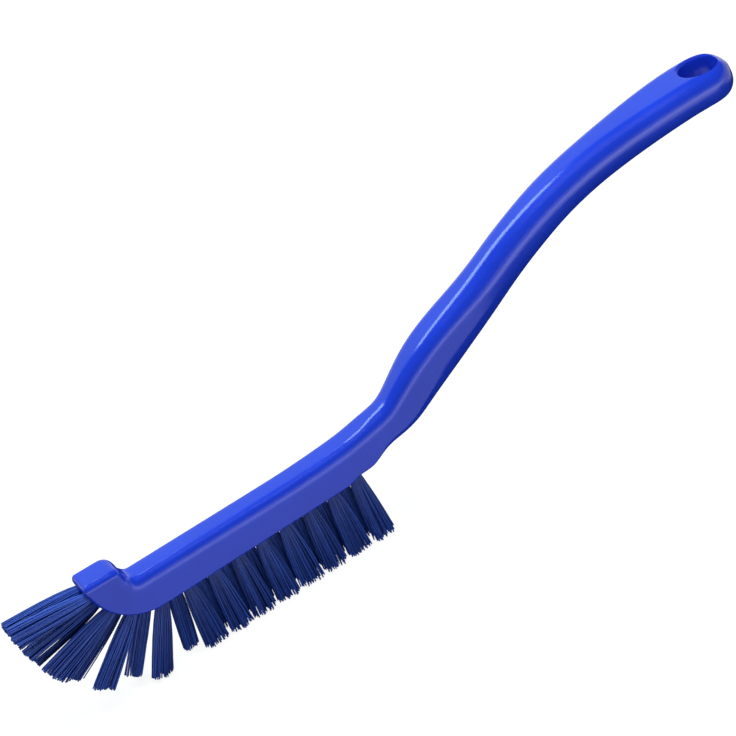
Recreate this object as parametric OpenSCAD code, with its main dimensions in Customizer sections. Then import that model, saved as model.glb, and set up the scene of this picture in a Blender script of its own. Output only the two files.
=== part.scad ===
// Long-handled grout brush. One moulded body carries the head, the toe tab and the S-shaped grip.
// Bristle tufts are folded over small metal anchors and driven into blind holes in the head.
// The flat trim of the bristles lies on z = 0, the toe points to -X and the hanging end to +X.

/* [Head] */
// Length of the head's flat underside, from the heel to the start of the toe's curve
head_length = 111; // [90:1:160]
// Width of the head
head_w = 17.5; // [16:0.5:24]
// Height of the head
head_h = 17; // [15:0.5:20]
// Rounding of the head's upper edges
head_round = 4; // [2:0.5:5]
// Rounding of the head's lower edges
base_round = 0.8; // [0.4:0.1:1.5]
// How much thicker the head is at the throat than at its middle
throat_swell = 1; // [0:0.1:2]
// How far the underside lifts behind the last tuft
heel_lift = 2; // [0:0.5:3]
// How far the underside steps up behind the heel
heel_step = 3.5; // [2:0.5:5]

/* [Toe] */
// Outer radius of the toe's curve, on the tufted side
toe_radius = 29; // [26:1:36]
// Height of the toe tab above the head's top
tab_rise = 11.5; // [11.5:0.5:18]
// How far the tab's top falls from its front to its back
tab_fall = 0.5; // [0:0.5:1.5]
// Length of the toe tab's top, front to back
tab_length = 19; // [16:0.5:22]
// Radius of the throat between the head's top and the toe tab
throat_radius = 5.5; // [4:0.5:7]
// Rounding of the toe tab's upper edges, at its front and sides
tab_round = 3; // [1:0.5:3.5]
// Rounding of the toe tab's upper back edge
tab_back_round = 5; // [2:0.5:5]

/* [Handle] */
// Length of the handle, from the heel to the hanging end
handle_length = 222.5; // [180:0.5:280]
// Rise of the handle's centre line from the head to the crest of the grip
handle_rise = 66; // [45:1:80]
// Width of the neck behind the heel
neck_w = 16.5; // [14:0.5:20]
// Height of the neck behind the heel
neck_h = 17.5; // [13:0.5:18]
// Width at the thumb swell
thumb_w = 21; // [18:0.5:26]
// Height at the thumb swell
thumb_h = 23.5; // [19:0.5:26]
// Width of the waist between the thumb swell and the grip
waist_w = 21; // [18:0.5:26]
// Height of the waist between the thumb swell and the grip
waist_h = 20; // [16:0.5:24]
// Width of the grip
grip_w = 23; // [20:0.5:28]
// Height of the grip
grip_h = 18; // [15:0.5:22]
// Width of the hanging end
end_w = 29.5; // [27:0.5:34]
// Height of the hanging end
end_h = 16.5; // [14:0.5:20]

/* [Hanging hole] */
// Diameter of the hanging hole
hang_d = 18; // [12:0.5:19]
// Wall between the hanging hole and the tip of the handle
hang_wall = 4.5; // [4:0.5:8]
// Chamfer at both mouths of the hanging hole
hang_chamfer = 1.5; // [0.5:0.5:2.5]

/* [Tufts] */
// Length of the bristles below the head
bristle_length = 33.5; // [25:0.5:45]
// Pitch of the tufts along one row
tuft_pitch = 12.5; // [11:0.1:16]
// Distance between the two rows of tufts
row_gap = 7; // [6.5:0.1:8]
// Outward lean of both rows, in degrees
row_lean = 1; // [0:0.5:6]
// Diameter of a tuft hole
tuft_d = 5.6; // [5:0.1:6]
// Depth of a tuft hole
tuft_depth = 9; // [8:0.5:10]
// Distance from the heel's edge to the centre of the last tuft
heel_land = 10.2; // [6:0.1:12]
// Distance before the toe's curve up to which the tufts stand straight
fan_lead = 10.5; // [5:0.5:25]
// Distance from the toe tab's top down to the foremost tuft
tab_land = 6.5; // [6:0.5:10]
// Reach of the bristle tips around the toe, from the centre of the toe's trim
fan_radius = 59; // [56:1:75]
// Spread of a tuft at its tips along the row, against its width at the hole
spread_along = 2.1; // [1.2:0.1:2.2]
// Spread of a tuft at its tips across the row, against its width at the hole
spread_across = 1.5; // [1.2:0.1:1.6]
// Width of a strand
strand_w = 0.8; // [0.6:0.05:0.8]
// How much shorter than the trim the shortest strands are
ragged = 1.2; // [0:0.1:2]

/* [Anchors] */
// Thickness of an anchor plate
anchor_t = 0.5; // [0.3:0.05:0.8]
// Height of an anchor plate along the hole
anchor_h = 2; // [1.5:0.1:3]
// How far each end of an anchor bites into the wall of its hole
anchor_bite = 0.4; // [0.2:0.1:0.6]
// Gap around an anchor, and between a tuft and its hole
seat_gap = 0.05; // [0.02:0.01:0.1]

/* [Hidden] */
$fn = 64;
body_colour = "#2438C8";
bristle_colour = "#1C2C6E";
anchor_colour = "#C9CDD2";

// The neck starts to climb this far before the heel, and stands square to its line this far behind it
climb_lead = head_length * 0.4;
square_run = neck_w * 0.75;
// The underside lifts behind the last tuft's hole, over this length
lift_start = -heel_land - tuft_d;
lift_run = tuft_d * 1.5;
// Its step up starts at this corner and ends this far behind the heel
heel_corner = -heel_step / 2;
heel_run = heel_step * 1.8;
// The underside has turned into the neck's own this far behind the heel
neck_run = square_run * 2;

// Centre line of the handle: share of the handle's length behind the heel, share of its rise
CLIMB = [
    [-climb_lead / handle_length, 0],
    [-0.04, 0.02],
    [0.03, 0.06],
    [0.09, 0.112],
    [0.17, 0.26],
    [0.235, 0.37],
    [0.33, 0.515],
    [0.45, 0.71],
    [0.57, 0.86],
    [0.70, 0.945],
    [0.87, 0.995],
    [1, 0.98]
];
PATH = [for (c = CLIMB) [c[0] * handle_length, head_h / 2 + c[1] * handle_rise]];

// Sections along the handle: distance behind the heel, width, height, top and bottom edge rounding
SECTIONS = [
    [-climb_lead, head_w, head_h, head_round, base_round],
    [0, head_w, head_h, head_round, base_round],
    [0.06 * handle_length, neck_w, neck_h, neck_h * 0.32, neck_h * 0.18],
    [0.21 * handle_length, thumb_w, thumb_h, thumb_h * 0.3, thumb_h * 0.42],
    [0.40 * handle_length, waist_w, waist_h, waist_h * 0.45, waist_h * 0.45],
    [0.62 * handle_length, grip_w, grip_h, grip_h * 0.46, grip_h * 0.46],
    [0.92 * handle_length, end_w, end_h, end_h * 0.45, end_h * 0.45],
    [handle_length, end_w, end_h, end_h * 0.45, end_h * 0.45]
];

// Toe: the tufted side curves up to the tab's front edge, the throat curves up to its back edge
tab_top = head_h + tab_rise;
toe_turn = tab_top < toe_radius ? acos(1 - tab_top / toe_radius) : 90;
tab_front = -head_length - toe_radius * sin(toe_turn);
tab_back = tab_front + tab_length;
front_upright = max(0, tab_top - toe_radius);
back_top = tab_top - tab_fall;
throat_z = head_h + throat_swell;
back_upright = back_top - throat_z - throat_radius;
outer_run = front_upright + arc_length(toe_radius, toe_turn);
inner_run = back_upright + arc_length(throat_radius, 90);

// Rings of the body's skin: how many along each stretch, and steps in each rounded corner
TAB_STEPS = 7;
TOE_STEPS = 14;
CLIMB_STEPS = 4;
LIFT_STEPS = 4;
HEEL_STEPS = 3;
NECK_STEPS = 6;
HANDLE_STEPS = 44;
NOSE_STEPS = 8;
CORNER_STEPS = 7;
RING = 4 * (CORNER_STEPS + 1);

// Faces of a closed tube through rings of points, with a flat cap at each end
function tube_faces(rings, sides) = concat(
    [for (k = [1:sides - 2]) [0, k, k + 1]],
    [for (i = [0:rings - 2], j = [0:sides - 1], half = [0, 1])
        let (a = i * sides + j, b = i * sides + (j + 1) % sides, c = b + sides, d = a + sides)
        half == 0 ? [a, d, c] : [a, c, b]],
    [for (k = [1:sides - 2]) let (e = (rings - 1) * sides) [e, e + k + 1, e + k]]
);
function arc_length(r, angle) = r * angle * PI / 180;
function mix(a, b, t) = a + (b - a) * t;
function ease(t) = t <= 0 ? 0 : t >= 1 ? 1 : t * t * (3 - 2 * t);

// Centre line: a cubic through the points of PATH
function path_at(x, i = 0) = i >= len(PATH) - 2 || x < PATH[i + 1][0] ? i : path_at(x, i + 1);
function path_tangent(i) =
    i == 0 ? 0 :
    i == len(PATH) - 1 ? (PATH[i][1] - PATH[i - 1][1]) / (PATH[i][0] - PATH[i - 1][0]) :
    (PATH[i + 1][1] - PATH[i - 1][1]) / (PATH[i + 1][0] - PATH[i - 1][0]);
function path_z(x) =
    x <= PATH[0][0] ? PATH[0][1] :
    let (i = path_at(x), w = PATH[i + 1][0] - PATH[i][0], t = (x - PATH[i][0]) / w)
    (1 + 2 * t) * (1 - t) * (1 - t) * PATH[i][1]
    + t * (1 - t) * (1 - t) * w * path_tangent(i)
    + t * t * (3 - 2 * t) * PATH[i + 1][1]
    - t * t * (1 - t) * w * path_tangent(i + 1);
function path_angle(x) = atan((path_z(x + 0.05) - path_z(x - 0.05)) / 0.1);
// Sections stand upright along the head and square to the centre line along the handle
function lean(x) = path_angle(x) * ease(x / square_run);

function row_at(x, i = 0) = i >= len(SECTIONS) - 2 || x < SECTIONS[i + 1][0] ? i : row_at(x, i + 1);
function section(x) =
    let (i = row_at(x), a = SECTIONS[i], b = SECTIONS[i + 1])
    mix(a, b, ease((x - a[0]) / (b[0] - a[0])));

// Distance from the centre line down to the underside, which is flat below the head
function underside(x) =
    heel_lift * ease((x - lift_start) / lift_run) + heel_step * max(0, x - heel_corner) / (heel_run - heel_corner);
function flat_drop(x) = (path_z(x) - underside(x)) / cos(lean(x));
function drop(x) =
    let (t = (x - heel_run) / (neck_run - heel_run))
    x <= heel_run ? flat_drop(x) : mix(flat_drop(heel_run), section(x)[2] / 2, ease(t));

// One ring of the skin, between a bottom and a top point of the side view
function corner(y, s, r, from) = [for (k = [0:CORNER_STEPS])
    let (a = from + 90 * k / CORNER_STEPS) [y + r * cos(a), s + r * sin(a)]];
function ring(bottom, top, w, round_top, round_bottom) =
    let (
        h = norm(top - bottom),
        up = (top - bottom) / h,
        rt = min(round_top, w / 2.02, h / 2.02),
        rb = min(round_bottom, w / 2.02, h / 2.02),
        flat = concat(
            corner(w / 2 - rb, rb, rb, -90),
            corner(w / 2 - rt, h - rt, rt, 0),
            corner(rt - w / 2, h - rt, rt, 90),
            corner(rb - w / 2, rb, rb, 180)
        )
    )
    [for (p = flat) [bottom[0] + up[0] * p[1], p[0], bottom[1] + up[1] * p[1]]];

// Side view of the toe: points at a share of the way from the tab's top to the head
function outer_point(f) =
    let (d = f * outer_run, a = toe_turn - max(0, d - front_upright) / toe_radius * 180 / PI)
    [-head_length - toe_radius * sin(a), d < front_upright ? tab_top - d : toe_radius - toe_radius * cos(a)];
function inner_point(f) =
    let (d = f * inner_run, a = 90 - max(0, d - back_upright) / throat_radius * 180 / PI)
    [
        tab_back + throat_radius - throat_radius * sin(a),
        d < back_upright ? back_top - d : throat_z + throat_radius - throat_radius * cos(a)
    ];
// Upright edges of the tab, on the throat's side and on the tufted side. Both grow into the head's own.
throat_side_round = tab_round * 1.4;
tufted_side_round = tab_round * 0.6;
function toe_round_top(f) = mix(throat_side_round, head_round, f);
function toe_round_bottom(f) = mix(tufted_side_round, base_round, ease(f * 2));

// The tab's rounded top, then the toe down to the start of the straight head. The first ring lies
// this share of a step below the top, and no ring's rounding gets smaller than the least.
top_share = 0.15;
least_round = 0.3;
function inset(r, depth) = depth < r ? r - sqrt(r * r - (r - depth) * (r - depth)) : 0;
TAB_RINGS = [for (k = [0:TAB_STEPS - 1])
    let (
        depth = tab_back_round * pow((k + top_share) / TAB_STEPS, 2),
        side = inset(tab_round, depth),
        back = inset(tab_back_round, depth)
    )
    ring([tab_front + side, tab_top - depth], [tab_back - back, back_top - depth], head_w - 2 * side,
        max(least_round, toe_round_top(0) - side), max(least_round, toe_round_bottom(0) - side))];
TOE_RINGS = [for (k = [0:TOE_STEPS])
    let (
        f = k / TOE_STEPS,
        fo = mix(tab_back_round / outer_run, 1, f),
        fi = mix(tab_back_round / inner_run, 1, f)
    )
    ring(outer_point(fo), inner_point(fi), head_w, toe_round_top(f), toe_round_bottom(f))];

// The head's climb, the heel, the handle and its blunt end
function handle_ring(x, narrow = 1, thin = 1) =
    let (
        s = section(x),
        a = lean(x),
        foot = [x, path_z(x)] - drop(x) * thin * [-sin(a), cos(a)],
        crown = [x, path_z(x)] + s[2] / 2 * thin * [-sin(a), cos(a)]
    )
    ring(foot, crown, s[1] * narrow, s[3] * thin, s[4] * thin);
nose = end_w / 2;
nose_x = handle_length - nose;
nose_last = 14;
function steps(from, to, count) = [for (k = [0:count - 1]) mix(from, to, k / count)];
HANDLE_XS = concat(
    steps(-climb_lead, lift_start, CLIMB_STEPS),
    steps(lift_start, lift_start + lift_run, LIFT_STEPS),
    [lift_start + lift_run],
    steps(heel_corner, heel_run, HEEL_STEPS),
    steps(heel_run, neck_run, NECK_STEPS),
    steps(neck_run, nose_x, HANDLE_STEPS)
);
HANDLE_RINGS = [for (x = HANDLE_XS) handle_ring(x)];
// The end narrows like a half circle seen from above, and its edge is rounded in the side view
NOSE_RINGS = [for (k = [0:NOSE_STEPS])
    let (
        a = mix(90, nose_last, k / NOSE_STEPS),
        left = nose * (1 - sin(90 - a)),
        thin = left > end_h / 2 ? 1 : sqrt(1 - pow(1 - left / (end_h / 2), 2))
    )
    handle_ring(handle_length - left, sin(a), max(0.2, thin))];

RINGS = concat(TAB_RINGS, TOE_RINGS, HANDLE_RINGS, NOSE_RINGS);
SKIN_POINTS = [for (r = RINGS) each r];
SKIN_FACES = tube_faces(len(RINGS), RING);

// Tufts, counted from the heel, stand in the near and the far row by turns, and the last ones fan
// out around the toe. For each of these: share of the way round the toe, turn from straight down,
// and share of the others' spread.
FAN = [
    [0.10, 10, 0.7],
    [0.25, 26, 0.9],
    [0.35, 34, 0.8],
    [0.53, 47, 1],
    [0.59, 61, 0.8],
    [0.73, 70, 0.9],
    [0.80, 81, 0.9],
    [0.98, 95, 0.8],
    [1, 94, 0.6]
];
STRAIGHT = floor((head_length - fan_lead - heel_land) / (tuft_pitch / 2)) + 1;
TUFTS = STRAIGHT + len(FAN);
straight_reach = heel_land + (STRAIGHT - 1) * tuft_pitch / 2;
fan_reach = head_length + arc_length(toe_radius, acos(1 - (tab_top - tab_land) / toe_radius));
function tuft_run(k) =
    k < STRAIGHT ? heel_land + k * tuft_pitch / 2 :
    mix(straight_reach, fan_reach, FAN[k - STRAIGHT][0]);
function tuft_side(k) = k % 2 == 0 ? -1 : 1;
function tuft_turn(k) = k < STRAIGHT ? 0 : FAN[k - STRAIGHT][1];
function tuft_spread(k) = max(1, spread_along * (k < STRAIGHT ? 1 : FAN[k - STRAIGHT][2]));
// Where a tuft leaves the tufted face
function tuft_foot(k) =
    let (a = max(0, tuft_run(k) - head_length) / toe_radius * 180 / PI)
    [
        -min(tuft_run(k), head_length) - toe_radius * sin(a),
        tuft_side(k) * row_gap / 2,
        toe_radius - toe_radius * cos(a) + underside(-tuft_run(k))
    ];
// Directions of a tuft: along its bristles, and two across
function tuft_out(k) = [
    -sin(tuft_turn(k)) * cos(row_lean),
    tuft_side(k) * sin(row_lean),
    -cos(tuft_turn(k)) * cos(row_lean)
];
function tuft_along(k) = [-cos(tuft_turn(k)), 0, sin(tuft_turn(k))];
function tuft_across(k) = cross(tuft_out(k), tuft_along(k));

// A tuft's root fills its hole up to just below the mouth, and its strands start inside the root
mouth_gap = 0.8;
root_grip = 0.6;
root_d = tuft_d - 2 * seat_gap;
// Radius of the inner ring of strands; the outer ring has twice this and stays just inside the root
rim_margin = 0.02;
strand_ring = (root_d - strand_w) / 4 - rim_margin;
SIDES = 3;
// A strand bows by up to this much halfway, and its tip strays by up to this much
bow = 0.5;
stray = 0.3;
// Places of the strands in the root: one in the middle and two rings around it
STRANDS = concat(
    [[0, 0]],
    [for (k = [0:5]) strand_ring * [cos(60 * k), sin(60 * k)]],
    [for (k = [0:11]) 2 * strand_ring * [cos(30 * k + 15), sin(30 * k + 15)]]
);

// The trim is flat below the head and round in front of the toe
trim_lead = toe_radius * 0.23;
trim_x = -head_length - trim_lead;
trim_z = fan_radius - bristle_length;
function reach_flat(p, d) = (-bristle_length - p[2]) / d[2];
function reach_round(p, d) =
    let (
        v = [p[0] - trim_x, p[2] - trim_z],
        w = [d[0], d[2]],
        a = w * w,
        b = v * w,
        c = v * v - fan_radius * fan_radius
    )
    (-b + sqrt(b * b - a * c)) / a;
function reach(p, d) =
    let (t = d[2] < -0.2 ? reach_flat(p, d) : 10 * bristle_length)
    p[0] + t * d[0] >= trim_x ? t : reach_round(p, d);

// Three rings of a strand: in the root, halfway down with a slight bow, and at the trim
function strand_points(k, s) =
    let (
        dice = rands(-1, 1, 4, 100 * k + s),
        bend = rands(-bow, bow, 2, 7 * k + 3),
        place = STRANDS[s],
        out = tuft_out(k),
        along = tuft_along(k),
        across = tuft_across(k),
        half = bristle_length / 2,
        start = tuft_foot(k) - (mouth_gap + root_grip) * out + place[0] * along + place[1] * across,
        spread = [tuft_spread(k), spread_across],
        middle_place = [for (n = [0, 1]) place[n] * (1 + spread[n]) / 2 + bend[n]],
        middle = tuft_foot(k) + half * out + middle_place[0] * along + middle_place[1] * across,
        end_place = [for (n = [0, 1]) place[n] * spread[n] + stray * dice[n]],
        end = tuft_foot(k) + bristle_length * out + end_place[0] * along + end_place[1] * across,
        way = (end - middle) / norm(end - middle),
        spin = 180 * dice[2],
        short = ragged * max(0, 0.3 + 0.7 * dice[3]),
        rim = [for (n = [0:SIDES - 1])
            strand_w / 2 * (cos(spin + 360 * n / SIDES) * along + sin(spin + 360 * n / SIDES) * across)]
    )
    concat(
        [for (r = rim) start + r],
        [for (r = rim) middle + r],
        [for (r = rim) middle + r + (reach(middle + r, way) - short) * way]
    );
STRAND_FACES = tube_faces(3, SIDES);

// The origin lies below the middle of the whole brush, on the plane of the bristle tips
tip_x = min([for (k = [0:TUFTS - 1], s = [0:len(STRANDS) - 1], p = strand_points(k, s)) p[0]]);
end_x = max([for (p = SKIN_POINTS) p[0]]);
ORIGIN = [-(tip_x + end_x) / 2, 0, bristle_length];

hang_x = handle_length - (hang_wall + hang_d / 2) * cos(path_angle(handle_length - hang_wall - hang_d / 2));
hang_angle = path_angle(hang_x);

function two_digits(n) = n < 10 ? str("0", n) : str(n);
function tuft_name(k) = str(tuft_side(k) < 0 ? "tuft_near_" : "tuft_far_", two_digits(floor(k / 2) + 1));

// Puts a tuft's own frame, with +Z along its bristles, in its place on the head
module at_tuft(k) {
    translate(ORIGIN + tuft_foot(k))
        rotate([0, 180 + tuft_turn(k), 0])
            rotate([-tuft_side(k) * row_lean, 0, 0])
                children();
}

module hang_bore() {
    reach = end_h;
    translate(ORIGIN + [hang_x, 0, path_z(hang_x)])
        rotate([0, -hang_angle, 0]) {
            translate([0, 0, -reach])
                cylinder(h = 2 * reach, d = hang_d);
            for (side = [0, 180])
                rotate([side, 0, 0])
                    translate([0, 0, end_h / 2 - hang_chamfer])
                        cylinder(h = 3 * hang_chamfer, d1 = hang_d, d2 = hang_d + 6 * hang_chamfer);
        }
}

// An anchor plate across its hole, near the bottom; grow widens it into the slot it sits in
module anchor_plate(grow = 0) {
    length = tuft_d + 2 * anchor_bite;
    bottom_gap = tuft_depth * 0.12;
    translate([-length / 2 - grow, -anchor_t / 2 - grow, bottom_gap - tuft_depth - grow])
        cube([length + 2 * grow, anchor_t + 2 * grow, anchor_h + 2 * grow]);
}

module brush_body() {
    color(body_colour)
        difference() {
            translate(ORIGIN)
                polyhedron(SKIN_POINTS, SKIN_FACES, convexity = 6);
            hang_bore();
            for (k = [0:TUFTS - 1])
                at_tuft(k) {
                    translate([0, 0, -tuft_depth])
                        cylinder(h = tuft_depth * 1.5, d = tuft_d);
                    anchor_plate(seat_gap);
                }
        }
}

module tuft_anchors() {
    color(anchor_colour)
        for (k = [0:TUFTS - 1])
            at_tuft(k)
                anchor_plate();
}

module tuft_root(k) {
    at_tuft(k)
        difference() {
            translate([0, 0, seat_gap - tuft_depth])
                cylinder(h = tuft_depth - mouth_gap - seat_gap, d = root_d);
            anchor_plate(seat_gap);
        }
}

module tuft(k) {
    color(bristle_colour)
        union() {
            tuft_root(k);
            translate(ORIGIN)
                for (s = [0:len(STRANDS) - 1])
                    polyhedron(strand_points(k, s), STRAND_FACES);
        }
}

brush_body();
tuft_anchors();
for (k = [0:TUFTS - 1])
    tuft(k);
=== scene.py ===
import math
import random

import bmesh
import bpy
from mathutils import Matrix, Vector


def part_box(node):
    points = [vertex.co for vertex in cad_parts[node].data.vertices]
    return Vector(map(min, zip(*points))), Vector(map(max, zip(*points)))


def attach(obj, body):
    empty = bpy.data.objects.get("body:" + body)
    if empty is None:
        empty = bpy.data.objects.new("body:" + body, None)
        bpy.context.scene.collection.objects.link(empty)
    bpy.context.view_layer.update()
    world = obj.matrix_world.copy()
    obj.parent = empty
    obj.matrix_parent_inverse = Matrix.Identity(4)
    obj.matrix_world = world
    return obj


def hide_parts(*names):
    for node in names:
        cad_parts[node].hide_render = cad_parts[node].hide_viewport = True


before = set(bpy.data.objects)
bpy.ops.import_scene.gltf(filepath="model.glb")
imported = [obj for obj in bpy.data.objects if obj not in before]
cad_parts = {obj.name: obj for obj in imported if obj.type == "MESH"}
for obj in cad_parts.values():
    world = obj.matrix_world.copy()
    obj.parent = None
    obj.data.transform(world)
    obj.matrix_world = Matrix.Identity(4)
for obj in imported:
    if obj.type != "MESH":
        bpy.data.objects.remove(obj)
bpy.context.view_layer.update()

# Long-handled grout brush. The body is lofted from rounded outlines, as a pattern maker lays out
# sections along a handle, and each tuft is a bundle of single filaments. All sizes are in
# millimetres, measured from the heel corner of the head, until a piece is put in its place.
MM = 0.001

# Head and toe
HEAD_LENGTH = 111
HEAD_W = 17.5
HEAD_H = 17
HEAD_ROUND = 4
BASE_ROUND = 0.8
THROAT_SWELL = 1
HEEL_LIFT = 2
HEEL_STEP = 3.5
TOE_RADIUS = 29
TAB_RISE = 11.5
TAB_FALL = 0.5
TAB_LENGTH = 19
THROAT_RADIUS = 5.5
TAB_ROUND = 3
TAB_BACK_ROUND = 5
TAB_TOP = HEAD_H + TAB_RISE
TOE_TURN = math.acos(1 - TAB_TOP / TOE_RADIUS)
TAB_FRONT = -HEAD_LENGTH - TOE_RADIUS * math.sin(TOE_TURN)
TAB_BACK = TAB_FRONT + TAB_LENGTH
BACK_TOP = TAB_TOP - TAB_FALL
THROAT_Z = HEAD_H + THROAT_SWELL
BACK_UPRIGHT = BACK_TOP - THROAT_Z - THROAT_RADIUS
# How far it is round the toe's outside, and down the tab's back and round the throat
OUTER_RUN = TOE_RADIUS * TOE_TURN
INNER_RUN = BACK_UPRIGHT + THROAT_RADIUS * math.pi / 2

# Handle
HANDLE_LENGTH = 222.5
HANDLE_RISE = 66
NECK_W = 16.5
END_W = 29.5
END_H = 16.5
CLIMB_LEAD = HEAD_LENGTH * 0.4
SQUARE_RUN = NECK_W * 0.75
NECK_RUN = SQUARE_RUN * 2
HEEL_CORNER = -HEEL_STEP / 2
HEEL_RUN = HEEL_STEP * 1.8

# Tufts
BRISTLE_LENGTH = 33.5
TUFT_PITCH = 12.5
ROW_GAP = 7
ROW_LEAN = math.radians(1)
TUFT_D = 5.6
TUFT_DEPTH = 9
HEEL_LAND = 10.2
TAB_LAND = 6.5
FAN_RADIUS = 59
STRAIGHT = 15
LIFT_START = -HEEL_LAND - TUFT_D
LIFT_RUN = TUFT_D * 1.5
# Tufts round the toe: share of the way round, turn from straight down, share of the others' spread
FAN = [(0.10, 10, 0.7), (0.25, 26, 0.8), (0.35, 34, 0.65), (0.53, 47, 0.8), (0.59, 61, 0.85),
       (0.73, 70, 1.15), (0.80, 81, 1.15), (0.98, 95, 0.85), (1, 94, 0.6)]
TUFTS = STRAIGHT + len(FAN)

# Round trim in front of the toe: its middle
TRIM_X = -HEAD_LENGTH - TOE_RADIUS * 0.23
TRIM_Z = FAN_RADIUS - BRISTLE_LENGTH

# Filaments
FILAMENTS = 80
FILAMENT_D = 0.62
FILAMENT_L = 34
ROOT_LENGTH = 5
HOLE_PLAY = 0.05
# Heights of a filament's steps: the first one at the mouth of its hole, where its bow starts
FILAMENT_STEPS = (4.5, 8, 13, 19, 26)
# How far filaments bow, and how far the widest place of the bow is drawn towards the hole
BOWS = (0, 0.2, 0.4, 0.6, 0.8)
BOW_DRAWN = 0.7
BOW_ACROSS = 0.6
# Spread at the tips against the hole: along the row for the near and the far tufts, and across it
SPREAD_ALONG = (2.3, 1.9)
SPREAD_ACROSS = 1.35
# A tuft parts in two rows of bunches: how many in each, how far they lean along the row and across
# it, and by how much they end short
BUNCH_ROW = 5
BUNCH_ASIDE = 0.6
BUNCH_DEEP = 0.4
BUNCH_SHORT = 0.8
# How far a tip strays along the row, how far one in eight does, and the share of that across the row
STRAY = 0.3
STRAY_FAR = 0.9
STRAY_FAR_SHARE = 0.12
STRAY_ACROSS = 0.6
# Tone of the filaments: how much it varies at random in a tuft, and how much is added in the near row,
# in the far row and in the near tufts round the toe. The far row's larger share is painted light that
# lifts the shade the near row and the body cast on it, and the toe's near tufts get a painted highlight
# where light falls on them.
TONE_RANGE = 0.75
ROW_PAINTED_LIGHT = (0.1, 0.3)
TUFT_PAINTED_LIGHT = {22: 0.5, 20: 0.2, 18: 0.15, 16: 0.12}
GOLDEN = math.pi * (3 - math.sqrt(5))
FIRST_SEED = 500

# Hanging hole
HANG_R = 9
HANG_WALL = 4.5
HANG_MOUTH = 1.9

# From the head's own edge rounding to this much more, tight corners become plain round ones and the
# crowned sides straight
ROUNDER = 3
ROUND_PROFILE = 0.5
# A tight corner: its width against its rounding, and its fuller profile
TIGHT_WIDER = 1.6
TIGHT_PROFILE = 0.68
# Crown of the head's sides: its height, the part of it that curves, and how much the two parts lean
CROWN_HEIGHT = 11
CROWN_CURVE = 8
CROWN_BEND = 0.012
CROWN_SLOPE = 0.19
# How upright an outline is where the crown starts, behind the tab
CROWN_START = 0.6

# Outlines of the body: how many, the least edge rounding, and how many degrees before the tip of
# the blunt end's half round they stop
TAB_OUTLINES = 8
TOE_OUTLINES = 15
END_OUTLINES = 9
LEAST_ROUND = 0.3
END_TURN = 14

# The heel corner's place in the frame: the tab's front is the body's lowest x
HEEL = Vector((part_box("brush_body")[0].x / MM - TAB_FRONT, 0, BRISTLE_LENGTH))


def mix(a, b, t):
    """From a to b as t goes from 0 to 1."""
    return a + (b - a) * t


def ease(t):
    """From 0 to 1, starting and ending softly."""
    t = min(1, max(0, t))
    return t * t * (3 - 2 * t)


# Shape of the body, as sections

# Centre line of the handle: distance behind the heel, height
PATH = [(share * HANDLE_LENGTH, HEAD_H / 2 + rise * HANDLE_RISE) for share, rise in (
    (-CLIMB_LEAD / HANDLE_LENGTH, 0), (-0.04, 0.02), (0.03, 0.06), (0.09, 0.112), (0.17, 0.26), (0.235, 0.37),
    (0.33, 0.515), (0.45, 0.71), (0.57, 0.86), (0.70, 0.945), (0.87, 0.995), (1, 0.98))]

# Sections along the handle: distance behind the heel, width, height, top and bottom edge rounding
SECTIONS = [
    (-CLIMB_LEAD, HEAD_W, HEAD_H, HEAD_ROUND, BASE_ROUND),
    (0, HEAD_W, HEAD_H, HEAD_ROUND, BASE_ROUND),
    (0.06 * HANDLE_LENGTH, NECK_W, 17.5, 5.6, 3.15),
    (0.21 * HANDLE_LENGTH, 21, 23.5, 7.05, 9.87),
    (0.40 * HANDLE_LENGTH, 21, 20, 9, 9),
    (0.62 * HANDLE_LENGTH, 23, 18, 8.3, 8.3),
    (0.92 * HANDLE_LENGTH, END_W, END_H, 7.4, 7.4),
    (HANDLE_LENGTH, END_W, END_H, 7.4, 7.4),
]


def path_slope(i):
    """Slope of the centre line at one of its points."""
    a, b = max(0, i - 1), min(len(PATH) - 1, i + 1)
    return 0 if i == 0 else (PATH[b][1] - PATH[a][1]) / (PATH[b][0] - PATH[a][0])


def path_z(x):
    """Height of the centre line, as a smooth curve through its points."""
    if x <= PATH[0][0]:
        return PATH[0][1]
    i = max(k for k in range(len(PATH) - 1) if x >= PATH[k][0])
    w = PATH[i + 1][0] - PATH[i][0]
    t = (x - PATH[i][0]) / w
    return ((1 + 2 * t) * (1 - t) ** 2 * PATH[i][1] + t * (1 - t) ** 2 * w * path_slope(i)
            + t * t * (3 - 2 * t) * PATH[i + 1][1] - t * t * (1 - t) * w * path_slope(i + 1))


def path_angle(x):
    step = 0.05
    return math.atan((path_z(x + step) - path_z(x - step)) / (2 * step))


def lean(x):
    """Sections stand upright along the head and square to the centre line along the handle."""
    return path_angle(x) * ease(x / SQUARE_RUN)


def section(x):
    """Width, height, top and bottom edge rounding at a distance behind the heel."""
    i = max([k for k in range(len(SECTIONS) - 1) if x >= SECTIONS[k][0]] or [0])
    a, b = SECTIONS[i], SECTIONS[i + 1]
    t = ease((x - a[0]) / (b[0] - a[0]))
    return [mix(p, q, t) for p, q in zip(a[1:], b[1:])]


def underside(x):
    """How far the flat underside has lifted by then: towards the heel, and up its small step."""
    step = max(0, x - HEEL_CORNER) / (HEEL_RUN - HEEL_CORNER)
    return HEEL_LIFT * ease((x - LIFT_START) / LIFT_RUN) + HEEL_STEP * step


def drop(x):
    """Distance from the centre line down to the underside, which is flat below the head."""
    def flat(x):
        return (path_z(x) - underside(x)) / math.cos(lean(x))
    if x <= HEEL_RUN:
        return flat(x)
    return mix(flat(HEEL_RUN), section(x)[1] / 2, ease((x - HEEL_RUN) / (NECK_RUN - HEEL_RUN)))


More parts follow.
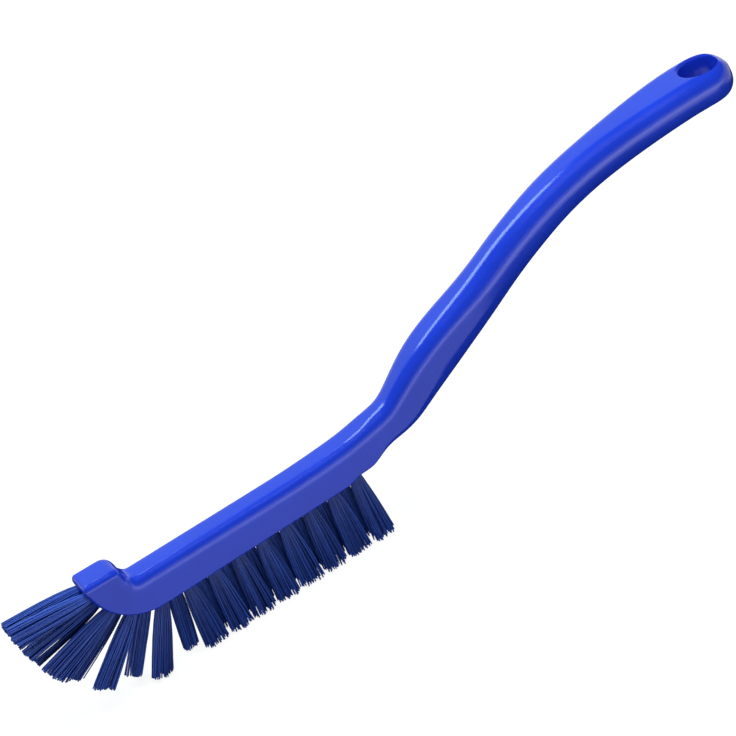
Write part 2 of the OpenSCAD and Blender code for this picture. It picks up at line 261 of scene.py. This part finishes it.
def handle_outline(x, narrow=1, thin=1):
    """Bottom, top, width, top and bottom edge rounding of one outline, square to its lean."""
    w, h, top, bottom = section(x)
    a = lean(x)
    up = Vector((-math.sin(a), 0, math.cos(a)))
    middle = Vector((x, 0, path_z(x)))
    return middle - up * drop(x) * thin, middle + up * h / 2 * thin, w * narrow, top * thin, bottom * thin


def outer_point(f):
    """Along the toe's outside, from the tab's front edge down to the tufted face."""
    a = TOE_TURN * (1 - f)
    return Vector((-HEAD_LENGTH - TOE_RADIUS * math.sin(a), 0, TOE_RADIUS - TOE_RADIUS * math.cos(a)))


def inner_point(f):
    """Down the tab's back and round the throat."""
    d = f * INNER_RUN
    a = math.pi / 2 - max(0, d - BACK_UPRIGHT) / THROAT_RADIUS
    z = BACK_TOP - d if d < BACK_UPRIGHT else THROAT_Z + THROAT_RADIUS - THROAT_RADIUS * math.cos(a)
    return Vector((TAB_BACK + THROAT_RADIUS - THROAT_RADIUS * math.sin(a), 0, z))


def inset(r, depth):
    """How far a rounded edge still lies in, at a depth below its face."""
    return r - math.sqrt(r * r - (r - depth) ** 2) if depth < r else 0


def body_outlines():
    """Outlines from the tab's top round the toe, along the head and up the handle to its blunt end."""
    out = []
    throat_round, tufted_round = TAB_ROUND * 1.4, TAB_ROUND * 0.6
    # The tab's rounded top, closer together where its edge turns most
    for k in range(TAB_OUTLINES):
        depth = TAB_BACK_ROUND * ((k + 0.1) / TAB_OUTLINES) ** 2
        side, back = inset(TAB_ROUND, depth), inset(TAB_BACK_ROUND, depth)
        outer = Vector((TAB_FRONT + side, 0, TAB_TOP - depth))
        inner = Vector((TAB_BACK - back, 0, BACK_TOP - depth))
        out.append((outer, inner, HEAD_W - 2 * side,
                    max(LEAST_ROUND, throat_round - side), max(LEAST_ROUND, tufted_round - side)))
    for k in range(TOE_OUTLINES):
        f = k / (TOE_OUTLINES - 1)
        outer = outer_point(mix(TAB_BACK_ROUND / OUTER_RUN, 1, f))
        inner = inner_point(mix(TAB_BACK_ROUND / INNER_RUN, 1, f))
        out.append((outer, inner, HEAD_W,
                    mix(throat_round, HEAD_ROUND, f), mix(tufted_round, BASE_ROUND, ease(f * 2))))
    nose = END_W / 2
    lift_end = LIFT_START + LIFT_RUN
    # Stretches of head and handle: start, stop, number of outlines
    stretches = [(-CLIMB_LEAD, LIFT_START, 4), (LIFT_START, lift_end, 4), (lift_end, HEEL_CORNER, 1),
                 (HEEL_CORNER, HEEL_RUN, 3), (HEEL_RUN, NECK_RUN, 6), (NECK_RUN, HANDLE_LENGTH - nose, 32)]
    for start, stop, count in stretches:
        for k in range(count):
            out.append(handle_outline(mix(start, stop, k / count)))
    # The blunt end: a half round seen from above, and a smaller one seen from the side
    for k in range(END_OUTLINES):
        a = math.radians(mix(90, END_TURN, k / (END_OUTLINES - 1)))
        left = nose * (1 - math.cos(a))
        thin = 1 if left > END_H / 2 else math.sqrt(1 - (1 - left / (END_H / 2)) ** 2)
        out.append(handle_outline(HANDLE_LENGTH - left, math.sin(a), max(0.2, thin)))
    return out


# Hand tools

def drop_all():
    """Leaves edit mode and deselects everything."""
    if bpy.context.object and bpy.context.object.mode != "OBJECT":
        bpy.ops.object.mode_set(mode="OBJECT")
    bpy.ops.object.select_all(action="DESELECT")


def pick(piece):
    drop_all()
    piece.select_set(True)
    bpy.context.view_layer.objects.active = piece


def apply_modifier(piece, kind, **settings):
    pick(piece)
    modifier = piece.modifiers.new(kind.title(), kind)
    for name, value in settings.items():
        setattr(modifier, name, value)
    bpy.ops.object.modifier_apply(modifier=modifier.name)


def select_verts(piece, test):
    """In edit mode: selects the vertices that pass the test, and the edges and faces between them."""
    bm = bmesh.from_edit_mesh(piece.data)
    for v in bm.verts:
        v.select = test(v)
    bm.select_flush(True)
    bm.select_flush(False)
    bmesh.update_edit_mesh(piece.data)


# Brush body

def top_corner(r):
    """A tight corner is made wider but fuller: it ends as far out, and its curve starts gently."""
    t = min(1, max(0, (r - HEAD_ROUND) / ROUNDER))
    return r * mix(TIGHT_WIDER, 1, t), mix(TIGHT_PROFILE, ROUND_PROFILE, t)


def side_crown(depth):
    """How far the sides lean in at a depth below the top: a straight slope, then a curve that ends it."""
    s = max(0, CROWN_HEIGHT - depth)
    return CROWN_BEND * min(s, CROWN_CURVE) ** 2 + CROWN_SLOPE * max(0, s - CROWN_CURVE)


def outline_mark(body):
    """The layer with each vertex's outline number. Each operator makes a new mesh, so it's fetched anew."""
    return bmesh.from_edit_mesh(body.data).verts.layers.int["outline"]


def select_outlines(body, numbers):
    mark = outline_mark(body)
    select_verts(body, lambda v: v[mark] in numbers)


def loft_body():
    """Rounded outlines, each a plane with bevelled corners, bridged one to the next."""
    outlines = body_outlines()
    drop_all()
    bpy.ops.mesh.primitive_plane_add(size=1)
    body = bpy.context.object
    body.name = body.data.name = "moulded_body"
    bpy.ops.object.mode_set(mode="EDIT")
    bpy.ops.mesh.delete(type="VERT")
    bmesh.from_edit_mesh(body.data).verts.layers.int.new("outline")
    for number, (bottom, top, width, round_top, round_bottom) in enumerate(outlines, 1):
        h = (top - bottom).length
        up = (top - bottom) / h
        bpy.ops.mesh.primitive_plane_add(size=1, location=(0, 0, 0))
        bpy.ops.transform.resize(value=(width, h, 1), center_override=(0, 0, 0))
        for side, (r, profile) in ((-1, (round_bottom, ROUND_PROFILE)), (1, top_corner(round_top))):
            mark = outline_mark(body)
            select_verts(body, lambda v: v[mark] in (0, number) and v.co.y * side > h / 2 - 1e-4)
            r = min(r, width / 2.02, h / 2.02)
            bpy.ops.mesh.bevel(offset=r, segments=9, profile=profile, affect="VERTICES")
        # The flat outline is turned upright: its width runs across the brush, its height along up
        turn = Matrix(((0, up.x, up.z), (1, 0, 0), (0, up.z, -up.x)))
        bm = bmesh.from_edit_mesh(body.data)
        mark = bm.verts.layers.int["outline"]
        # The sides are crowned along the head: not on the tab, nor on the rounder handle
        upright = ease((abs(up.z) - CROWN_START) / (1 - CROWN_START))
        crown = upright * (1 - ease((round_top - HEAD_ROUND) / ROUNDER))
        for v in bm.verts:
            if v[mark] in (0, number):
                v[mark] = number
                v.co.x *= 1 - crown * side_crown(h / 2 - v.co.y) / (width / 2)
                v.co = turn @ v.co + (bottom + top) / 2
        bmesh.update_edit_mesh(body.data)
    bpy.ops.mesh.select_all(action="SELECT")
    bpy.ops.mesh.delete(type="ONLY_FACE")
    for number in range(1, len(outlines)):
        select_outlines(body, (number, number + 1))
        bpy.ops.mesh.bridge_edge_loops()
    for end in (1, len(outlines)):
        select_outlines(body, (end,))
        bpy.ops.mesh.edge_face_add()
    bpy.ops.mesh.select_all(action="SELECT")
    bpy.ops.mesh.normals_make_consistent(inside=False)
    bpy.ops.object.mode_set(mode="OBJECT")
    apply_modifier(body, "SUBSURF", levels=2, render_levels=2)
    return body


def hang_cutter():
    """A round core that flares at both ends, for a hole with rounded mouths."""
    slope = path_angle(HANDLE_LENGTH - HANG_WALL - HANG_R)
    x = HANDLE_LENGTH - (HANG_WALL + HANG_R) * math.cos(slope)
    flare = HANG_R + HANG_MOUTH
    # Radius and height of each ring: a straight stretch, a quarter round at the mouth, and past it
    steps = [(HANG_R, END_H / 2 - HANG_MOUTH)]
    rings = 6
    for k in range(1, rings + 1):
        a = k / rings * math.pi / 2
        steps.append((flare - HANG_MOUTH * math.cos(a), END_H / 2 - HANG_MOUTH + HANG_MOUTH * math.sin(a)))
    steps.append((flare, END_H))
    profile = [(r, -z) for r, z in reversed(steps)] + steps
    drop_all()
    bpy.ops.mesh.primitive_circle_add(vertices=64, radius=profile[0][0], fill_type="NGON",
                                      location=(0, 0, profile[0][1]))
    cutter = bpy.context.object
    bpy.ops.object.transform_apply(location=True, rotation=True, scale=True)
    bpy.ops.object.mode_set(mode="EDIT")
    bpy.ops.mesh.select_all(action="SELECT")
    for (r0, z0), (r1, z1) in zip(profile, profile[1:]):
        bpy.ops.mesh.extrude_region_move(TRANSFORM_OT_translate={"value": (0, 0, z1 - z0)})
        bpy.ops.transform.resize(value=(r1 / r0, r1 / r0, 1), center_override=(0, 0, z1))
    bpy.ops.mesh.select_all(action="SELECT")
    bpy.ops.mesh.normals_make_consistent(inside=False)
    bpy.ops.object.mode_set(mode="OBJECT")
    cutter.data.transform(Matrix.Translation((x, 0, path_z(x))) @ Matrix.Rotation(-path_angle(x), 4, "Y"))
    return cutter


def tuft_run(k):
    """How far along the tufted face from the heel a tuft stands. Even numbers are the near row."""
    straight_reach = HEEL_LAND + (STRAIGHT - 1) * TUFT_PITCH / 2
    if k < STRAIGHT:
        return HEEL_LAND + k * TUFT_PITCH / 2
    fan_reach = HEAD_LENGTH + TOE_RADIUS * math.acos(1 - (TAB_TOP - TAB_LAND) / TOE_RADIUS)
    return mix(straight_reach, fan_reach, FAN[k - STRAIGHT][0])


def tuft_frame(k):
    """The tuft's foot on the tufted face, and its directions: along the row, across it and out."""
    run, side = tuft_run(k), -1 if k % 2 == 0 else 1
    a = max(0, run - HEAD_LENGTH) / TOE_RADIUS
    foot = Vector((-min(run, HEAD_LENGTH) - TOE_RADIUS * math.sin(a), side * ROW_GAP / 2,
                   TOE_RADIUS - TOE_RADIUS * math.cos(a) + underside(-run)))
    turn = 0 if k < STRAIGHT else math.radians(FAN[k - STRAIGHT][1])
    out = Vector((-math.sin(turn) * math.cos(ROW_LEAN), side * math.sin(ROW_LEAN),
                  -math.cos(turn) * math.cos(ROW_LEAN)))
    along = Vector((-math.cos(turn), 0, math.sin(turn)))
    return foot, along, out.cross(along), out


def drill_bits():
    """One blind drill for each tuft hole, joined into one cutter."""
    bits = []
    for k in range(TUFTS):
        foot, along, across, out = tuft_frame(k)
        drop_all()
        bpy.ops.mesh.primitive_cylinder_add(vertices=40, radius=TUFT_D / 2, depth=TUFT_DEPTH * 2,
                                            end_fill_type="NGON")
        bit = bpy.context.object
        turn = Matrix((along, across, out)).transposed().to_4x4()
        bit.data.transform(Matrix.Translation(foot) @ turn)
        bits.append(bit)
    pick(bits[0])
    for bit in bits:
        bit.select_set(True)
    bpy.ops.object.join()
    return bits[0]


def finish_in_place(piece, material):
    """Moves a piece from the bench, in millimetres from the heel, to its place on the brush."""
    piece.data.transform(Matrix.Scale(MM, 4) @ Matrix.Translation(HEEL))
    piece.data.materials.clear()
    piece.data.materials.append(material)
    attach(piece, "root")


def make_body(material):
    body = loft_body()
    for cutter in (hang_cutter(), drill_bits()):
        apply_modifier(body, "BOOLEAN", object=cutter, operation="DIFFERENCE", solver="EXACT")
        bpy.data.objects.remove(cutter)
    body.data.attributes.remove(body.data.attributes["outline"])
    pick(body)
    bpy.ops.object.shade_smooth_by_angle(angle=math.radians(40))
    finish_in_place(body, material)
    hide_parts("brush_body")


# Tufts

def filament(bow):
    """One bristle: a six-sided rod, cut in steps and bowed between its hole's mouth and its tip."""
    drop_all()
    bpy.ops.mesh.primitive_cylinder_add(vertices=6, radius=FILAMENT_D / 2, depth=FILAMENT_L,
                                        location=(0, 0, FILAMENT_L / 2))
    rod = bpy.context.object
    bpy.ops.object.transform_apply(location=True, rotation=True, scale=True)
    bpy.ops.object.mode_set(mode="EDIT")
    bpy.ops.mesh.select_all(action="DESELECT")
    bm = bmesh.from_edit_mesh(rod.data)
    for e in bm.edges:
        e.select = abs(e.verts[0].co.z - e.verts[1].co.z) > 1
    bmesh.update_edit_mesh(rod.data)
    bpy.ops.mesh.subdivide(number_cuts=len(FILAMENT_STEPS))
    for k, height in enumerate(FILAMENT_STEPS, 1):
        cut = k * FILAMENT_L / (len(FILAMENT_STEPS) + 1)
        share = (height - FILAMENT_STEPS[0]) / (FILAMENT_L - FILAMENT_STEPS[0])
        select_verts(rod, lambda v: abs(v.co.z - cut) < 0.1)
        bpy.ops.transform.translate(value=(bow * math.sin(math.pi * share ** BOW_DRAWN), 0, height - cut))
    bpy.ops.object.mode_set(mode="OBJECT")
    return rod


def reach(p, d):
    """How far from p along d the trim is: flat below the head, round in front of the toe."""
    too_far = 1000
    t = (-BRISTLE_LENGTH - p.z) / d.z if d.z < -0.2 else too_far
    if p.x + t * d.x >= TRIM_X:
        return t
    v, w = Vector((p.x - TRIM_X, p.z - TRIM_Z)), Vector((d.x, d.z))
    a, b, c = w.dot(w), v.dot(w), v.dot(v) - FAN_RADIUS ** 2
    return (-b + math.sqrt(b * b - a * c)) / a


def cut_short(rng, short):
    """How far before the trim a filament ends: a quarter of them further, and a few by 1 to 3 mm more."""
    cut = rng.random()
    short += rng.uniform(0, 0.5)
    if cut < 0.25:
        short += rng.uniform(0.4, 1.2)
    if cut < 0.03:
        short += rng.uniform(1, 3)
    return short


def make_tuft(k, name, rods, material):
    """Filaments that are packed tight in their hole and spread towards their tips."""
    rng = random.Random(FIRST_SEED + k)
    foot, along, across, out = tuft_frame(k)
    bm = bmesh.new()
    tone_and_painted_light = bm.verts.layers.float_color.new("tone_and_painted_light")
    packed = TUFT_D / 2 - FILAMENT_D / 2 - HOLE_PLAY
    spread = max(1, SPREAD_ALONG[k % 2] * (1 if k < STRAIGHT else FAN[k - STRAIGHT][2]))
    bunches = [(rng.uniform(-BUNCH_ASIDE, BUNCH_ASIDE), rng.uniform(-BUNCH_DEEP, BUNCH_DEEP),
                rng.uniform(0, BUNCH_SHORT)) for n in range(2 * BUNCH_ROW)]
    for n in range(FILAMENTS):
        r = packed * math.sqrt((n + 0.5) / FILAMENTS)
        a = n * GOLDEN + k
        root = Vector((r * math.cos(a), r * math.sin(a)))
        stray = STRAY_FAR if rng.random() < STRAY_FAR_SHARE else STRAY
        place_in_row = int((root.x / packed + 1) * BUNCH_ROW / 2)
        aside, deep, short = bunches[place_in_row + (BUNCH_ROW if root.y > 0 else 0)]
        # The tips fill out the corners of their patch, where they meet the next tuft's
        corner = (math.cos(a) ** 4 + math.sin(a) ** 4) ** -0.25
        tip = Vector((root.x * spread * corner + aside + rng.uniform(-stray, stray),
                      root.y * SPREAD_ACROSS * corner + deep + rng.uniform(-stray, stray) * STRAY_ACROSS))
        mouth = foot + root.x * along + root.y * across
        end = foot + BRISTLE_LENGTH * out + tip.x * along + tip.y * across
        way = (end - mouth).normalized()
        start = mouth - way * ROOT_LENGTH
        length = ROOT_LENGTH + reach(mouth, way) - cut_short(rng, short)
        # Each filament bows away from the tuft's middle, the outer ones most
        x = root.x * along + root.y * BOW_ACROSS * across
        x = (x - x.dot(way) * way).normalized()
        turn = Matrix((x, way.cross(x), way)).transposed().to_4x4()
        bow = min(len(rods) - 1, int(len(rods) * r / packed * rng.uniform(0.6, 1.1)) + k % 2)
        size = Matrix.Diagonal((1, 1, length / FILAMENT_L, 1))
        first = len(bm.verts)
        bm.from_mesh(rods[bow].data)
        bm.verts.ensure_lookup_table()
        place = Matrix.Translation(start) @ turn @ size
        # Random variation plus painted light: far row painted lighter against its shade, toe's near tufts a
        # painted highlight
        shade = min(1, TONE_RANGE * rng.random() + TUFT_PAINTED_LIGHT.get(k, ROW_PAINTED_LIGHT[k % 2]))
        for v in bm.verts[first:]:
            v.co = place @ v.co
            v[tone_and_painted_light] = (shade, shade, shade, 1)
    mesh = bpy.data.meshes.new(name)
    bm.to_mesh(mesh)
    bm.free()
    tuft = bpy.data.objects.new(name, mesh)
    bpy.context.scene.collection.objects.link(tuft)
    pick(tuft)
    bpy.ops.object.shade_smooth_by_angle(angle=math.radians(70))
    finish_in_place(tuft, material)
    return tuft


# Materials

def srgb(code):
    """Hex colour as the eye sees it, turned to the linear values that the shader takes."""
    parts = [int(code[i:i + 2], 16) / 255 for i in (1, 3, 5)]
    return tuple(c / 12.92 if c <= 0.04045 else ((c + 0.055) / 1.055) ** 2.4 for c in parts) + (1,)


def add(tree, kind, links=None, **settings):
    """Adds a node, sets its properties and inputs, and links its inputs to other nodes' outputs."""
    node = tree.nodes.new(kind)
    for name, value in settings.items():
        if name.startswith("in_"):
            key = name[3:]
            node.inputs[int(key) if key.isdigit() else key.replace("_", " ")].default_value = value
        else:
            setattr(node, name, value)
    for key, socket in (links or {}).items():
        tree.links.new(socket, node.inputs[key])
    return node


def new_material(name):
    material = bpy.data.materials.new(name)
    material.use_nodes = True
    tree = material.node_tree
    tree.nodes.clear()
    return material, tree


def close(tree, shader):
    """Ends a material with its shader."""
    out = add(tree, "ShaderNodeOutputMaterial")
    tree.links.new(shader.outputs[0], out.inputs["Surface"])


def moulded_polypropylene():
    """Glossy polypropylene, injection moulded: an even deep blue with soft flow marks and a faint
    ripple that breaks up the highlights, and a slightly waxy skin."""
    material, tree = new_material("moulded_polypropylene")
    place = add(tree, "ShaderNodeTexCoord")
    # Flow marks are 30 to 60 mm long, ripples about 3 mm, and the skin's grain 0.4 mm
    flow = add(tree, "ShaderNodeTexNoise", {"Vector": place.outputs["Object"]}, in_Scale=22, in_Detail=2)
    ripple = add(tree, "ShaderNodeTexNoise", {"Vector": place.outputs["Object"]}, in_Scale=330, in_Detail=1)
    grain = add(tree, "ShaderNodeTexNoise", {"Vector": place.outputs["Object"]}, in_Scale=2500, in_Detail=2)
    tint = add(tree, "ShaderNodeValToRGB", {"Fac": flow.outputs["Fac"]})
    tint.color_ramp.elements[0].position = 0.3
    tint.color_ramp.elements[0].color = srgb("#183CD4")
    tint.color_ramp.elements[1].position = 0.7
    tint.color_ramp.elements[1].color = srgb("#1C42E1")
    gloss = add(tree, "ShaderNodeMapRange", {"Value": flow.outputs["Fac"]}, in_To_Min=0.17, in_To_Max=0.22)
    low = add(tree, "ShaderNodeBump", {"Height": ripple.outputs["Fac"]}, in_Strength=0.02, in_Distance=0.0006)
    fine = add(tree, "ShaderNodeBump", {"Height": grain.outputs["Fac"], "Normal": low.outputs["Normal"]},
               in_Strength=0.04, in_Distance=0.0001)
    shader = add(tree, "ShaderNodeBsdfPrincipled",
                 {"Base Color": tint.outputs["Color"], "Roughness": gloss.outputs["Result"],
                  "Normal": fine.outputs["Normal"]}, in_IOR=1.49)
    close(tree, shader)
    return material


def polyester_filament():
    """Extruded polyester bristle, dyed through: darker than the body, each filament its own depth of blue,
    partly at random and partly painted light, and a satin shine along it."""
    material, tree = new_material("polyester_filament")
    # Each filament's value: random variation plus painted light in the far row and the toe's near tufts
    tone_and_painted_light = add(tree, "ShaderNodeVertexColor", layer_name="tone_and_painted_light")
    place = add(tree, "ShaderNodeTexCoord")
    streak = add(tree, "ShaderNodeTexNoise", {"Vector": place.outputs["Object"]}, in_Scale=180, in_Detail=2)
    blend = add(tree, "ShaderNodeMix", {"A": tone_and_painted_light.outputs["Color"], "B": streak.outputs["Fac"]},
                in_Factor=0.3)
    tint = add(tree, "ShaderNodeValToRGB", {"Fac": blend.outputs["Result"]})
    tint.color_ramp.elements[0].position = 0.1
    tint.color_ramp.elements[0].color = srgb("#152B7A")
    tint.color_ramp.elements[1].position = 0.9
    tint.color_ramp.elements[1].color = srgb("#3A62D0")
    shader = add(tree, "ShaderNodeBsdfPrincipled", {"Base Color": tint.outputs["Color"]},
                 in_IOR=1.57, in_Roughness=0.42)
    close(tree, shader)
    return material


def bright_steel():
    """Galvanised flat wire, cut into anchors: bright, with drawing lines along the wire."""
    material, tree = new_material("bright_steel_wire")
    place = add(tree, "ShaderNodeTexCoord")
    # Drawing lines are 0.05 mm apart, drawn at 0.2 mm
    lines = add(tree, "ShaderNodeTexNoise", {"Vector": place.outputs["Object"]}, in_Scale=5000, in_Detail=1)
    gloss = add(tree, "ShaderNodeMapRange", {"Value": lines.outputs["Fac"]}, in_To_Min=0.28, in_To_Max=0.42)
    shader = add(tree, "ShaderNodeBsdfPrincipled", {"Roughness": gloss.outputs["Result"]},
                 in_Base_Color=srgb("#C9CDD2"), in_Metallic=1)
    close(tree, shader)
    return material


# Build

plastic = moulded_polypropylene()
bristle = polyester_filament()
steel = bright_steel()

make_body(plastic)
rods = [filament(bow) for bow in BOWS]
for k in range(TUFTS):
    node = ("tuft_near_" if k % 2 == 0 else "tuft_far_") + "%02d" % (k // 2 + 1)
    tuft = make_tuft(k, node.replace("tuft", "filaments"), rods, bristle)
    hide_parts(node)
for rod in rods:
    bpy.data.objects.remove(rod)
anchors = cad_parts["tuft_anchors"]
anchors.data.materials.clear()
anchors.data.materials.append(steel)


# Studio, in metres

FLOOR_R = 3
FLOOR_WALL = 0.6
# The bright card's side, its middle, and the width of the soft edge towards the brush
BRIGHT_SIDE = 1.58
BRIGHT_MIDDLE = (0.05, -0.91, 0.0005)
BRIGHT_EDGE = 0.25
# Dark cards, painted shade seen only in the brush's reflection: under the whole brush, and further to the
# front where the handle is high, as x0, x1, y0, y1
PAINTED_SHADE_CARDS = [(-0.33, 0.37, -0.05, 0.45), (0.04, 0.37, -0.08, -0.05), (0.085, 0.37, -0.2, -0.08)]
DARK_Z = 0.001
# The point that the lights face
LIT = Vector((0.05, 0, 0.06))


def make_floor():
    """A pale sheet, turned up in a low wall all round, that the camera and what mirrors it see as
    white but for the brush's shadow."""
    material, tree = new_material("pale_studio_floor")
    path = add(tree, "ShaderNodeLightPath")
    seen = add(tree, "ShaderNodeMath", {0: path.outputs["Is Camera Ray"], 1: path.outputs["Is Glossy Ray"]},
               operation="ADD", use_clamp=True)
    seen = add(tree, "ShaderNodeMath", {0: seen.outputs[0], 1: path.outputs["Is Transmission Ray"]},
               operation="ADD", use_clamp=True)
    sheet = add(tree, "ShaderNodeBsdfDiffuse", in_Color=srgb("#A0A0A0"))
    glow = add(tree, "ShaderNodeEmission", in_Color=srgb("#FFFFFF"), in_Strength=0.88)
    shadowed = add(tree, "ShaderNodeBsdfDiffuse", in_Color=srgb("#7A7A7A"))
    white = add(tree, "ShaderNodeAddShader", {0: glow.outputs[0], 1: shadowed.outputs[0]})
    mixed = add(tree, "ShaderNodeMixShader", {0: seen.outputs[0], 1: sheet.outputs[0], 2: white.outputs[0]})
    close(tree, mixed)
    drop_all()
    bpy.ops.mesh.primitive_circle_add(vertices=96, radius=FLOOR_R, fill_type="NGON", location=(0, 0, 0))
    floor = bpy.context.object
    bpy.ops.object.mode_set(mode="EDIT")
    bpy.ops.mesh.select_all(action="DESELECT")
    rim = bmesh.from_edit_mesh(floor.data)
    for e in rim.edges:
        e.select = True
    bmesh.update_edit_mesh(floor.data)
    bpy.ops.mesh.select_mode(type="EDGE")
    bpy.ops.mesh.extrude_edges_move(TRANSFORM_OT_translate={"value": (0, 0, FLOOR_WALL)})
    bpy.ops.object.mode_set(mode="OBJECT")
    floor.name = "studio_floor"
    floor.data.materials.append(material)


def only_mirrored(card, name, material):
    """Names a card and hides it from all but the brush's reflection."""
    card.name = name
    card.data.materials.append(material)
    card.visible_camera = card.visible_diffuse = card.visible_shadow = card.visible_transmission = False


def make_bright_card():
    """A bright sheet on the floor in front, for the brush's reflection only: it lights the shoulder
    of each rounded edge."""
    material, tree = new_material("bright_card")
    # Even, but for its soft edge
    place = add(tree, "ShaderNodeTexCoord")
    across = add(tree, "ShaderNodeSeparateXYZ", {0: place.outputs["Object"]})
    strength = add(tree, "ShaderNodeMapRange", {"Value": across.outputs["Y"]},
                   in_From_Min=BRIGHT_SIDE / 2 - BRIGHT_EDGE, in_From_Max=BRIGHT_SIDE / 2,
                   in_To_Min=3.2, in_To_Max=0.9)
    close(tree, add(tree, "ShaderNodeEmission", {"Strength": strength.outputs["Result"]},
                    in_Color=srgb("#FFFFFF")))
    drop_all()
    bpy.ops.mesh.primitive_plane_add(size=BRIGHT_SIDE, location=BRIGHT_MIDDLE)
    card = bpy.context.object
    only_mirrored(card, "bright_card", material)


def make_painted_shade_cards():
    """Dark cards, for the brush's reflection only: painted shade that keeps its lower edges deep blue."""
    material, tree = new_material("painted_shade_card")
    close(tree, add(tree, "ShaderNodeBsdfDiffuse", in_Color=srgb("#202020")))
    for x0, x1, y0, y1 in PAINTED_SHADE_CARDS:
        drop_all()
        bpy.ops.mesh.primitive_plane_add(size=1, location=((x0 + x1) / 2, (y0 + y1) / 2, DARK_Z))
        card = bpy.context.object
        bpy.ops.transform.resize(value=(x1 - x0, y1 - y0, 1))
        bpy.ops.object.transform_apply(location=False, rotation=False, scale=True)
        only_mirrored(card, "painted_shade_card", material)


def soft_light(name, way, distance, width, height, power, along=(1, 0, 0), mirrored=True, tint="#FFFFFF"):
    """A rectangular softbox that way from the brush, its width laid along a direction."""
    drop_all()
    way = Vector(way).normalized()
    bpy.ops.object.light_add(type="AREA")
    light = bpy.context.object
    light.name = name
    light.data.shape = "RECTANGLE"
    light.data.size, light.data.size_y = width, height
    light.data.energy = power
    light.data.color = srgb(tint)[:3]
    across = (Vector(along) - Vector(along).dot(way) * way).normalized()
    turn = Matrix((across, way.cross(across), way)).transposed().to_4x4()
    light.matrix_world = Matrix.Translation(LIT + way * distance) @ turn
    light.visible_glossy = mirrored


def make_camera():
    """Fitted to the photograph: 12 degrees towards the toe, 31 degrees above the floor, tilted."""
    side, height, tilt = math.radians(12), math.radians(31), math.radians(26.2)
    distance, pixels_per_mm, frame_px = 2000, 2.284, 736
    # Where the heel's near corner is in the photograph's frame
    heel_px, heel_py = 379.0, 468.5
    sensor = 36
    middle = Vector((20, 0, 20))
    right = Vector((math.cos(side), -math.sin(side), 0))
    up = Vector((math.sin(side) * math.sin(height), math.cos(side) * math.sin(height), math.cos(height)))
    back = Vector((-math.sin(side) * math.cos(height), -math.cos(side) * math.cos(height), math.sin(height)))
    x = right * math.cos(tilt) - up * math.sin(tilt)
    y = right * math.sin(tilt) + up * math.cos(tilt)
    heel = Vector((0, -HEAD_W / 2, 0)) - middle
    scale = pixels_per_mm * distance / (distance - heel.dot(back))
    px = heel_px - scale * heel.dot(x)
    py = heel_py + scale * heel.dot(y)
    data = bpy.data.cameras.new("camera")
    camera = bpy.data.objects.new("camera", data)
    bpy.context.scene.collection.objects.link(camera)
    data.sensor_width = sensor
    data.lens = sensor * pixels_per_mm * distance / frame_px
    data.shift_x = 0.5 - px / frame_px
    data.shift_y = py / frame_px - 0.5
    data.clip_start, data.clip_end = 0.05, 20
    turn = Matrix((x, y, back)).transposed()
    camera.matrix_world = Matrix.Translation((HEEL + middle + back * distance) * MM) @ turn.to_4x4()
    bpy.context.scene.camera = camera


make_floor()
# Painted shade under the brush, seen only in its reflection
make_painted_shade_cards()
make_bright_card()
make_camera()
# Large and even, from above and slightly in front: it gives the colour, and isn't mirrored
soft_light("overhead_softbox", (0, -0.2, 1), distance=1.1, width=0.7, height=0.7, power=8.6, mirrored=False)
# Low and wide, from in front: it fills the side, and isn't mirrored either
soft_light("low_front_panel", (0.05, -0.98, 0.15), distance=1.25, width=1.7, height=0.3, power=4.2,
           mirrored=False)
# What the glossy body mirrors: a pale wall behind it and a strip high behind the toe
soft_light("back_panel", (0, 0.86, 0.5), distance=1.3, width=1.9, height=0.84, power=3.2, tint="#DDFFFF")
soft_light("high_strip", (-0.28, 0.49, 0.82), distance=1.1, width=0.52, height=0.4, power=5,
           along=(-0.484, 0.0025, -0.1835), tint="#DDFFFF")

world = bpy.data.worlds.new("studio_air")
bpy.context.scene.world = world
world.use_nodes = True
air = world.node_tree.nodes["Background"]
air.inputs["Color"].default_value = (1, 1, 1, 1)
air.inputs["Strength"].default_value = 0.12

bpy.context.scene.view_settings.view_transform = "Standard"
